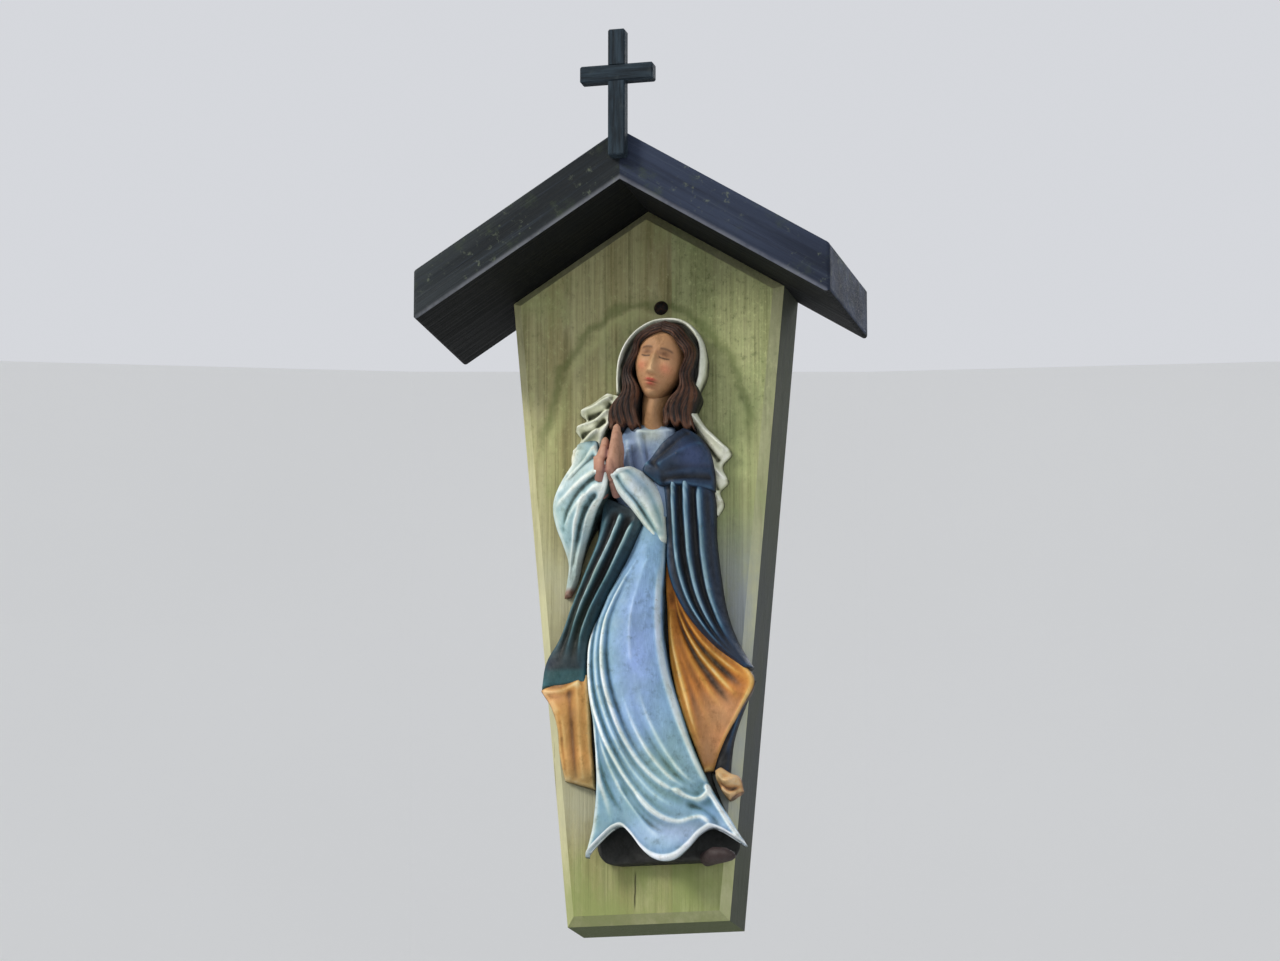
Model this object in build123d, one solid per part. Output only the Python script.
from build123d import *

import math
import os

# Small roofed shrine that hangs on a trunk, in millimetres.
# +Z is up, the front faces -Y and the back of the board lies on y = 0.
# Heights below are measured from the bottom edge of the board; at the end every piece is moved
# so that the origin lies on the back face, on the centre line, half way up the board.

# Back board, glued up from two staves
BOARD_HEIGHT = 400.0
BOARD_TOP_WIDTH = 154.0
BOARD_BOTTOM_WIDTH = 90.0
BOARD_THICKNESS = 40.0
BOARD_CHAMFER = 5.0
SEAM_OFFSET = 14.5

# Roof, two boards mitred at the ridge
ROOF_PITCH = 32.0
ROOF_THICKNESS = 24.0
ROOF_HALF_SPAN = 116.5
ROOF_OVERHANG = 60.0
ROOF_EDGE_ROUND = 2.0

# Cross nailed to the front of the ridge
CROSS_RISE = 55.0
CROSS_FOOT = 17.0
CROSS_BAR_WIDTH = 9.5
CROSS_BAR_THICKNESS = 8.0
CROSS_ARM_LENGTH = 41.0
CROSS_ARM_DROP = 25.0
CROSS_CHAMFER = 0.8

# Blind hole in the back, for the peg or nail it hangs on
HANGING_HOLE_RADIUS = 4.0
HANGING_HOLE_DEPTH = 25.0
HANGING_HOLE_HEIGHT = 325.0

# Nail above the head of the figure
NAIL_OFFSET = 8.5
NAIL_ABOVE_FIGURE = 8.5
NAIL_HEAD_RADIUS = 4.0
NAIL_HEAD_HEIGHT = 3.0
NAIL_SHANK_RADIUS = 1.5
NAIL_SHANK_LENGTH = 18.0
NAIL_CLEARANCE = 0.1

# Carved figure, from its foot to the top of the veil, and how proud of the board it stands
FIGURE_FOOT_HEIGHT = 25.0
FIGURE_HEIGHT = 309.0
FIGURE_WIDTH = 120.0
FIGURE_DEPTH = 44.0
FIGURE_OFFSET = 2.0
HEAD_WIDTH = 27.0
HEAD_LENGTH = 44.0
HEAD_DEPTH = 34.0
HEAD_TILT = 14.0

# Middle of the head, in percent of the figure's width, height and depth
HEAD_ACROSS = 9.5
HEAD_UP = 91.0
HEAD_PROUD = 42.0

# How the parts of the carving swell between their edges, and how their folds rise and fade out at the edges
WHOLE = 100.0
FULLNESS = 0.8
FOLD_RISE = 3.5
FOLD_FADE = 2.0
GOWN_FOLDS = 5

# How finely the parts are drawn, and the shares of a smooth curve half way between two rows
POINTS_PER_FOLD = 4
POINTS_ACROSS = 6
NEAR_SHARE = 9 / 16
FAR_SHARE = 1 / 16

# Wood behind the board face that is planed off at the end, and how far the cut of the hem runs past the gown
BACK_STOCK = 2.0
CUT_BEYOND = 10.0

# The parts of the carving. Each row is one line across a part, in percent of the figure's size:
# where its left end lies across and up, where its right end lies across and up,
# and how proud it is at the left, in the middle and at the right.
CORE = [
    (1.5, 97, 18.5, 97, 14, 23, 14),
    (-6.5, 92, 23.5, 92, 18, 32, 18),
    (-11.5, 86, 20, 86, 14, 27, 14),
    (-21.5, 79, 21.5, 78.5, 11, 23, 11),
    (-25, 70, 25, 70, 11, 27, 11),
    (-23.5, 60.5, 25, 60.5, 9, 27, 11),
    (-28.5, 50.5, 26.5, 51.5, 9, 27, 11),
    (-36.5, 40.5, 33.5, 42.5, 9, 23, 9),
    (-36.5, 31, 36.5, 34, 9, 23, 9),
    (-28.5, 20, 28.5, 20.5, 9, 23, 9),
    (-21.5, 10, 38.5, 10, 11, 27, 11),
    (-21.5, 0, 44, 0, 20, 32, 20),
]
GOWN = [
    (-1, 62, 12.5, 60, 41, 57, 50),
    (-8, 54, 12.5, 55.5, 34, 59, 48),
    (-17.5, 47, 11.5, 49.5, 27, 61, 45),
    (-24, 40, 11, 43, 25, 66, 41),
    (-24, 33, 14, 35.5, 23, 66, 39),
    (-22.5, 27, 19, 28, 23, 64, 36),
    (-21.5, 20.5, 25, 20.5, 25, 59, 34),
    (-23.5, 13.5, 34, 13.5, 30, 55, 32),
    (-25, 7.5, 42.5, 8, 34, 55, 32),
    (-27, 0, 48, 0, 39, 57, 34),
]
HEM = [
    (-27, 3), (-21.5, 5), (-15, 7), (-8, 7.5), (-3, 6), (3.5, 2),
    (9, 0), (22, 0), (31, 3), (36.5, 5), (42, 4), (48, 3.5),
]
SHOE = [
    (31, 4, 40, 3.5, 28, 34, 30),
    (29.5, 2, 44.5, 1.5, 30, 46, 38),
    (31, 0, 42, 0, 28, 38, 32),
]
MANTLE_RIGHT = [
    (14, 78.5, 21.5, 78, 34, 41, 27),
    (8.5, 74, 28.5, 76, 50, 57, 25),
    (6, 69.5, 31.5, 71, 57, 61, 25),
    (9, 64.5, 32.5, 65.5, 55, 57, 23),
    (11.5, 58.5, 32.5, 58.5, 50, 52, 23),
    (12.5, 52.5, 34, 52.5, 45, 50, 23),
    (20, 45.5, 38.5, 45.5, 41, 45, 20),
    (33.5, 39.5, 43.5, 40, 34, 39, 18),
    (46, 35.5, 49, 35.5, 25, 25, 16),
]
LINING_RIGHT = [
    (10, 59, 14, 59, 34, 36, 34),
    (9, 51.5, 16, 51.5, 34, 32, 32),
    (10, 44, 26, 44, 32, 27, 27),
    (14, 36, 40, 38, 30, 23, 23),
    (18.5, 30, 50, 33.5, 27, 23, 20),
    (21.5, 25, 43.5, 28.5, 25, 23, 18),
    (25, 21, 36, 23.5, 25, 20, 16),
    (27.5, 17.5, 29.8, 17.3, 20, 18, 14),
]
MANTLE_END = [
    (33.5, 34.6, 50, 34.4, 9, 14, 11),
    (31.5, 28, 47.5, 28, 9, 14, 9),
    (30, 23, 44, 23, 9, 14, 9),
    (29, 17.6, 41, 17, 9, 14, 9),
]
CURL = [
    (30.2, 19.2, 34, 19.6, 18, 20, 18),
    (32.5, 16, 40, 17, 20, 27, 20),
    (35, 14, 45, 16.5, 18, 27, 18),
    (39, 12.5, 46.5, 14.5, 11, 18, 11),
]
MANTLE_LEFT = [
    (-13.5, 65.5, 1.5, 63.5, 45, 57, 57),
    (-20, 59.5, -2.5, 58, 36, 52, 52),
    (-28.5, 53.5, -9, 52, 30, 48, 43),
    (-36, 47.5, -16.4, 46.8, 23, 41, 36),
    (-40, 42.5, -23.5, 41, 20, 34, 32),
    (-46.5, 38.5, -25, 36.5, 16, 27, 27),
    (-50, 34, -26, 34, 14, 23, 23),
]
LINING_LEFT = [
    (-47, 36, -25.4, 36, 12, 18, 20),
    (-49.3, 33.4, -26, 33.6, 14, 20, 23),
    (-46, 29.5, -26, 31, 14, 23, 23),
    (-43.5, 24.5, -25, 24.5, 11, 20, 20),
    (-42.5, 20, -24, 20, 9, 18, 18),
    (-41, 17, -23.5, 17, 7, 14, 16),
]
BODICE = [
    (-8.5, 80, 15, 79, 27, 39, 30),
    (-11.5, 75, 15, 74.5, 36, 48, 39),
    (-11.5, 70, 15, 69, 43, 55, 43),
    (-8.5, 61.5, 15, 59.5, 39, 52, 41),
]
SLEEVE_RIGHT = [
    (-13.5, 71, -4, 72.5, 68, 86, 68),
    (-10, 68, 4, 72, 61, 89, 61),
    (-3.5, 65, 11.5, 69, 55, 82, 55),
    (2.5, 62, 14, 64, 50, 73, 52),
    (8.5, 58.5, 14, 59.5, 45, 59, 50),
]
SLEEVE_LEFT = [
    (-32.5, 77, -21, 77.5, 20, 36, 43),
    (-35, 73, -17.5, 74, 23, 50, 66),
    (-41.5, 69, -14, 70.5, 20, 59, 80),
    (-44, 66, -15, 66, 18, 57, 75),
    (-40, 62, -22.5, 62.5, 16, 41, 45),
    (-36.5, 58, -27.5, 59, 11, 25, 25),
    (-38.5, 53.5, -31.5, 54, 9, 18, 18),
    (-39, 50.5, -35, 50.5, 7, 11, 11),
]
HANDS = [
    (-9, 79.6, -6.7, 79.4, 77, 84, 77),
    (-13.5, 75.5, -5, 75.5, 82, 95, 82),
    (-16.5, 72, -8.5, 72, 82, 97, 82),
    (-17.5, 68.5, -9, 68.5, 77, 91, 77),
]
VEIL_LEFT = [
    (-20, 88.5, -13.5, 87.5, 18, 27, 32),
    (-31, 84.5, -14.6, 83.6, 11, 25, 30),
    (-36, 80, -24, 79, 9, 23, 25),
    (-35, 75.5, -27.5, 75, 9, 20, 23),
    (-33.5, 71, -29, 71, 7, 14, 16),
]
VEIL_RIGHT = [
    (18.5, 84.5, 23.5, 84, 18, 25, 16),
    (21, 80, 31.5, 79, 16, 23, 11),
    (26, 76, 38.5, 75.5, 11, 18, 9),
    (29, 73, 32.5, 72.5, 11, 14, 9),
    (30, 70, 36.5, 69, 9, 16, 9),
    (30, 66.5, 33.5, 66, 7, 11, 7),
]
VEIL_HOOD = [
    (1.5, 100, 16.5, 100, 20, 36, 20),
    (-5, 98.5, 22.5, 98.5, 20, 45, 20),
    (-12.5, 95, 29, 95, 20, 50, 18),
    (-16.5, 90, 31.5, 90, 18, 52, 18),
    (-16, 84.5, 28.5, 85.5, 16, 45, 16),
]
HAIR_LEFT = [
    (-4, 97.5, 13.6, 97.8, 45, 68, 72),
    (-10, 93.5, 1.5, 94, 41, 64, 70),
    (-12.5, 90, -1, 90, 36, 59, 64),
    (-13.5, 86.5, -1, 86, 32, 55, 57),
    (-16.5, 83, -3.5, 83, 27, 48, 50),
    (-18.5, 80, -6, 79, 20, 36, 36),
]
HAIR_RIGHT = [
    (12.5, 97.5, 21, 97.5, 73, 68, 50),
    (19, 93.5, 26.5, 94, 70, 68, 43),
    (20.5, 90, 28.5, 90, 66, 64, 36),
    (19, 86.5, 26.5, 86.5, 59, 57, 32),
    (16, 83.5, 26, 82.5, 50, 48, 27),
    (11.5, 80, 20, 79, 39, 36, 20),
]
NECK = [
    (0, 86, 14.4, 86, 27, 50, 27),
    (-1, 78.4, 14.2, 77.8, 20, 43, 20),
]
NOSE = [
    (9.2, 92.2, 11, 92.4, 76, 81, 76),
    (6.4, 88.4, 10, 88.8, 74, 89, 74),
    (6.6, 87.6, 9.4, 87.9, 70, 79, 70),
]

# Every part but the gown, with the number of its folds
CLOTHS = [
    (CORE, 0),
    (MANTLE_RIGHT, 2),
    (LINING_RIGHT, 3),
    (MANTLE_END, 0),
    (CURL, 0),
    (MANTLE_LEFT, 3),
    (LINING_LEFT, 2),
    (BODICE, 4),
    (SLEEVE_RIGHT, 0),
    (SLEEVE_LEFT, 2),
    (HANDS, 1),
    (VEIL_LEFT, 0),
    (VEIL_RIGHT, 0),
    (VEIL_HOOD, 0),
    (HAIR_LEFT, 2),
    (HAIR_RIGHT, 2),
    (NECK, 0),
    (NOSE, 0),
    (SHOE, 0),
]

ROOF_DEPTH = BOARD_THICKNESS + ROOF_OVERHANG
ROOF_RISE = ROOF_THICKNESS / math.cos(math.radians(ROOF_PITCH))
ROOF_SLOPE = math.tan(math.radians(ROOF_PITCH))
SHOULDER_HEIGHT = BOARD_HEIGHT - BOARD_TOP_WIDTH / 2 * ROOF_SLOPE
RIDGE_TOP = BOARD_HEIGHT + ROOF_RISE
FIGURE_TOP = FIGURE_FOOT_HEIGHT + FIGURE_HEIGHT
ORIGIN_HEIGHT = BOARD_HEIGHT / 2


def front_view(outline):
    """A closed outline drawn as seen from the front, x to the right and z up."""
    return Plane.XZ * make_face(Polyline(*outline, close=True))


def back_board():
    """The tapered board with a gabled top, as one piece before it is parted at the glue line."""
    outline = [
        (-BOARD_BOTTOM_WIDTH / 2, 0),
        (BOARD_BOTTOM_WIDTH / 2, 0),
        (BOARD_TOP_WIDTH / 2, SHOULDER_HEIGHT),
        (0, BOARD_HEIGHT),
        (-BOARD_TOP_WIDTH / 2, SHOULDER_HEIGHT),
    ]
    board = extrude(front_view(outline), BOARD_THICKNESS)
    front_edges = board.edges().filter_by_position(Axis.Y, -BOARD_THICKNESS, -BOARD_THICKNESS)
    board = chamfer(front_edges, BOARD_CHAMFER)
    board -= hole_along_y(0, HANGING_HOLE_HEIGHT, 0, HANGING_HOLE_DEPTH, HANGING_HOLE_RADIUS)
    nail_hole_end = BOARD_THICKNESS - NAIL_SHANK_LENGTH - NAIL_CLEARANCE
    nail_hole_radius = NAIL_SHANK_RADIUS + NAIL_CLEARANCE
    board -= hole_along_y(
        NAIL_OFFSET, FIGURE_TOP + NAIL_ABOVE_FIGURE, nail_hole_end, BOARD_THICKNESS, nail_hole_radius
    )
    return board


def hole_along_y(x, z, start, end, radius):
    """A round rod that runs from depth start to depth end in front of the back face."""
    circle = Plane.XZ.offset(start) * Pos(x, z) * Circle(radius)
    return extrude(circle, end - start)


def back_staves():
    """The two staves, left and right of the glue line."""
    board = back_board()
    glue_line = Plane.YZ.offset(SEAM_OFFSET)
    left = split(board, bisect_by=glue_line, keep=Keep.BOTTOM)
    right = split(board, bisect_by=glue_line, keep=Keep.TOP)
    return left, right


def roof_board(side):
    """One roof board; side is -1 for the left one and 1 for the right one."""
    eave_drop = ROOF_HALF_SPAN * ROOF_SLOPE
    eave = side * ROOF_HALF_SPAN
    outline = [
        (0, BOARD_HEIGHT),
        (0, RIDGE_TOP),
        (eave, RIDGE_TOP - eave_drop),
        (eave, BOARD_HEIGHT - eave_drop),
    ]
    board = extrude(front_view(outline), ROOF_DEPTH)
    ends = board.faces().filter_by(Axis.X).sort_by(lambda face: abs(face.center().X))
    return fillet(ends[-1].edges(), ROOF_EDGE_ROUND)


def cross_bar(x_size, z_size, centre_height):
    """A straight bar of the cross, flat against the front of the roof."""
    bar = Pos(0, -ROOF_DEPTH - CROSS_BAR_THICKNESS / 2, centre_height) * Box(
        x_size, CROSS_BAR_THICKNESS, z_size
    )
    return chamfer(bar.edges(), CROSS_CHAMFER)


def cross():
    """Post and arm of the cross, half lapped where they meet."""
    arm_height = RIDGE_TOP + CROSS_RISE - CROSS_ARM_DROP
    post_length = CROSS_RISE + CROSS_FOOT
    post = cross_bar(CROSS_BAR_WIDTH, post_length, RIDGE_TOP + CROSS_RISE - post_length / 2)
    arm = cross_bar(CROSS_ARM_LENGTH, CROSS_BAR_WIDTH, arm_height)
    lap = Box(CROSS_BAR_WIDTH, CROSS_BAR_THICKNESS / 2, CROSS_BAR_WIDTH)
    front_lap = Pos(0, -ROOF_DEPTH - CROSS_BAR_THICKNESS * 3 / 4, arm_height) * lap
    back_lap = Pos(0, -ROOF_DEPTH - CROSS_BAR_THICKNESS / 4, arm_height) * lap
    return post - front_lap, arm - back_lap


def figure_nail():
    """A domed nail driven into the board above the figure."""
    height = FIGURE_TOP + NAIL_ABOVE_FIGURE
    dome_radius = (NAIL_HEAD_RADIUS**2 + NAIL_HEAD_HEIGHT**2) / (2 * NAIL_HEAD_HEIGHT)
    face = (
        Polyline((0, 0), (0, -NAIL_SHANK_LENGTH), (NAIL_SHANK_RADIUS, -NAIL_SHANK_LENGTH))
        + Polyline((NAIL_SHANK_RADIUS, -NAIL_SHANK_LENGTH), (NAIL_SHANK_RADIUS, 0), (NAIL_HEAD_RADIUS, 0))
        + RadiusArc((NAIL_HEAD_RADIUS, 0), (0, NAIL_HEAD_HEIGHT), -dome_radius)
        + Line((0, NAIL_HEAD_HEIGHT), (0, 0))
    )
    nail = revolve(make_face(face), Axis.Y)
    return Pos(NAIL_OFFSET, -BOARD_THICKNESS, height) * Rot(180, 0, 0) * nail


def figure_x(across):
    """Place across the carving, in percent of its width from its centre line."""
    return FIGURE_OFFSET + FIGURE_WIDTH * across / WHOLE


def figure_z(up):
    """Height on the carving, in percent of its own height from its foot."""
    return FIGURE_FOOT_HEIGHT + FIGURE_HEIGHT * up / WHOLE


def figure_y(proud):
    """Place in front of the board face, in percent of the carving's depth."""
    return -FIGURE_DEPTH * proud / WHOLE


def smoothed(rows):
    """The rows, with one more half way between each two on a smooth curve through them all."""
    padded = [rows[0], *rows, rows[-1]]
    result = []
    for before, first, second, after in zip(padded, padded[1:], padded[2:], padded[3:]):
        halfway = []
        for far_1, near_1, near_2, far_2 in zip(before, first, second, after):
            halfway.append(NEAR_SHARE * (near_1 + near_2) - FAR_SHARE * (far_1 + far_2))
        result += [first, halfway]
    return [*result, rows[-1]]


def crest_point(row, place, folds):
    """A point on the front of a part; place runs from 0 at its left end to 1 at its right end."""
    left, left_up, right, right_up, left_proud, middle_proud, right_proud = row
    arch = math.sin(math.pi * place)
    level = left_proud + (right_proud - left_proud) * place
    swell = middle_proud - (left_proud + right_proud) / 2
    fold = FOLD_RISE * min(1, FOLD_FADE * arch) * math.cos(2 * math.pi * folds * place) if folds else 0
    proud = level + swell * arch**FULLNESS + fold
    across = left + (right - left) * place
    up = left_up + (right_up - left_up) * place
    return figure_x(across), figure_y(proud), figure_z(up)


def cloth_section(row, folds):
    """A cut across a part of the carving, from behind the board face to its front."""
    steps = max(POINTS_ACROSS, POINTS_PER_FOLD * folds)
    points = [crest_point(row, step / steps, folds) for step in range(steps + 1)]
    crest = Polyline(*points) if folds else Spline(*points)
    left_back = (points[0][0], BACK_STOCK, points[0][2])
    right_back = (points[-1][0], BACK_STOCK, points[-1][2])
    return make_face(Polyline(points[0], left_back, right_back, points[-1]) + crest)


def cloth(rows, folds):
    """One part of the carving, lofted through its rows; only smooth parts get rows in between."""
    if not folds:
        rows = smoothed(rows)
    return loft([cloth_section(row, folds) for row in rows], ruled=True)


def gown():
    """The gown, cut off below its waved hem."""
    hem = [(figure_x(across), figure_z(up)) for across, up in HEM]
    (left, left_height), (right, right_height) = hem[0], hem[-1]
    low = figure_z(0) - CUT_BEYOND
    sides = Polyline(
        (right, right_height), (right + CUT_BEYOND, right_height), (right + CUT_BEYOND, low),
        (left - CUT_BEYOND, low), (left - CUT_BEYOND, left_height), (left, left_height),
    )
    below_hem = Plane.XZ.offset(-BACK_STOCK) * make_face(sides + Spline(*hem))
    return cloth(GOWN, GOWN_FOLDS) - extrude(below_hem, BACK_STOCK + FIGURE_DEPTH)


def head():
    """The head, an egg that leans to the right."""
    egg = scale(Sphere(HEAD_WIDTH / 2), by=(1, HEAD_DEPTH / HEAD_WIDTH, HEAD_LENGTH / HEAD_WIDTH))
    return Pos(figure_x(HEAD_ACROSS), figure_y(HEAD_PROUD), figure_z(HEAD_UP)) * Rot(0, HEAD_TILT, 0) * egg


def praying_figure():
    """The carving, one piece of wood with a flat back; its parts overlap as the layers of cloth do."""
    figure = gown()
    for rows, folds in CLOTHS:
        figure += cloth(rows, folds)
    figure += head()
    figure = split(figure, bisect_by=Plane.XZ, keep=Keep.TOP)
    return Pos(0, -BOARD_THICKNESS, 0) * figure


left_stave, right_stave = back_staves()
cross_post, cross_arm = cross()
pieces = {
    "back_board_left": left_stave,
    "back_board_right": right_stave,
    "roof_board_left": roof_board(-1),
    "roof_board_right": roof_board(1),
    "cross_post": cross_post,
    "cross_arm": cross_arm,
    "praying_figure": praying_figure(),
    "figure_nail": figure_nail(),
}

os.makedirs("parts", exist_ok=True)
for name, piece in pieces.items():
    export_step(Pos(0, 0, -ORIGIN_HEIGHT) * piece, f"parts/{name}.step")
